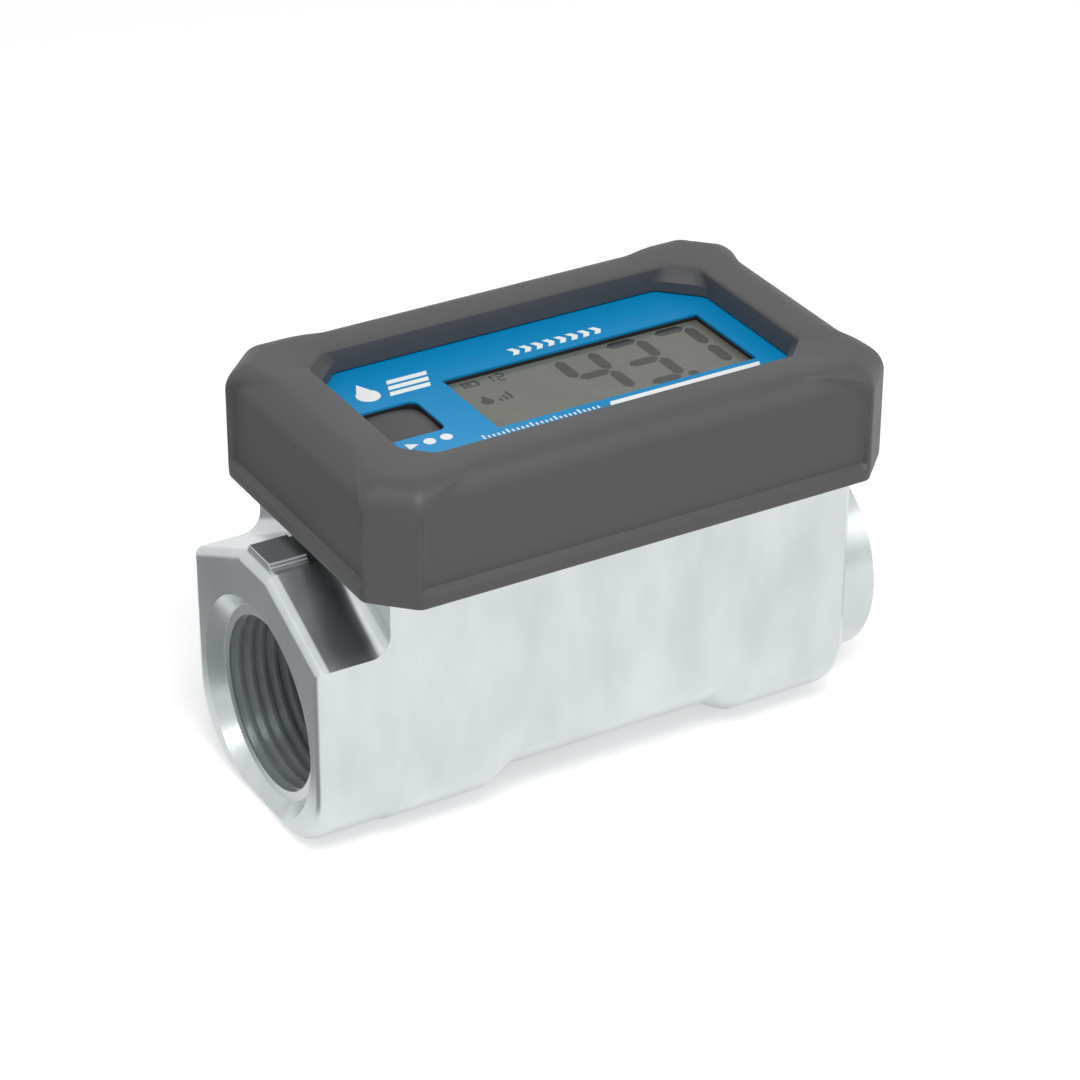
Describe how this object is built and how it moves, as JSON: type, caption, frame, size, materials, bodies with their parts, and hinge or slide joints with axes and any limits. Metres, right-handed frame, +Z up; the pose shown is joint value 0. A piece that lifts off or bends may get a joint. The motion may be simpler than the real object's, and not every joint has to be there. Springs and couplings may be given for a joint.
{
  "type": "turbine flow meter",
  "caption": "In-line turbine flow meter: cast aluminium pipe body with threaded ports, a turbine rotor in the bore, and a battery display module under a rubber boot.",
  "frame": {"origin": "on the ground under the middle of the meter's box", "axes": "+X along the flow from the inlet to the outlet, +Z up, -Y the side that the display is read from"},
  "size_m": [0.1116, 0.0624, 0.0715],
  "materials": {
    "cast_aluminium": "satin as-cast, machined faces",
    "boot_rubber": "matt moulded rubber",
    "seal_rubber": "smooth black rubber",
    "housing_plastic": "fine moulded grain",
    "label_film": "printed satin film, blue",
    "display_glass": "clear glass over grey liquid crystal",
    "key_rubber": "matt moulded silicone",
    "white_plastic": "moulded white plastic",
    "flow_plastic": "black moulded acetal",
    "rotor_plastic": "white moulded acetal",
    "stainless_steel": "bright stainless steel",
    "bearing_metal": "bronze",
    "board_laminate": "green solder mask",
    "chip_plastic": "black moulded epoxy",
    "cell_jacket": "printed steel can",
    "copper_wire": "enamelled copper"
  },
  "bodies": {
    "meter": {"meter_body": "cast_aluminium", "inlet_support": "flow_plastic", "outlet_support": "flow_plastic", "inlet_retaining_ring": "stainless_steel", "outlet_retaining_ring": "stainless_steel", "rotor_shaft": "stainless_steel", "thrust_washers": "stainless_steel", "computer_housing": "housing_plastic", "housing_gasket": "seal_rubber", "housing_cover": "housing_plastic", "cover_screws": "stainless_steel", "face_label": "label_film", "lcd_polariser": "display_glass", "lcd_glass": "display_glass", "lcd_rear_glass": "display_glass", "lcd_frame": "white_plastic", "lcd_connectors": "seal_rubber", "circuit_board": "board_laminate", "board_screws": "stainless_steel", "board_components": "chip_plastic", "button_switch": "chip_plastic", "battery_tray": "housing_plastic", "battery_cells": "cell_jacket", "battery_contacts": "stainless_steel", "pickup_bobbin": "white_plastic", "pickup_winding": "copper_wire", "coil_pins": "stainless_steel", "rubber_boot": "boot_rubber"},
    "turbine": {"rotor": "rotor_plastic", "rotor_bushes": "bearing_metal", "rotor_slugs": "stainless_steel"},
    "button": {"display_button": "key_rubber", "switch_plunger": "white_plastic"}
  },
  "joints": [
    {"name": "rotor_spin", "type": "hinge", "parent": "meter", "child": "turbine", "pos_m": [0.0018, 0, 0.0199], "axis": [1, 0, 0], "continuous": true},
    {"name": "button_press", "type": "slide", "parent": "meter", "child": "button", "axis": [0, 0, 1], "range_m": [-0.0006, 0], "stiffness_N_per_m": 600, "springref_m": 0.0005}
  ]
}
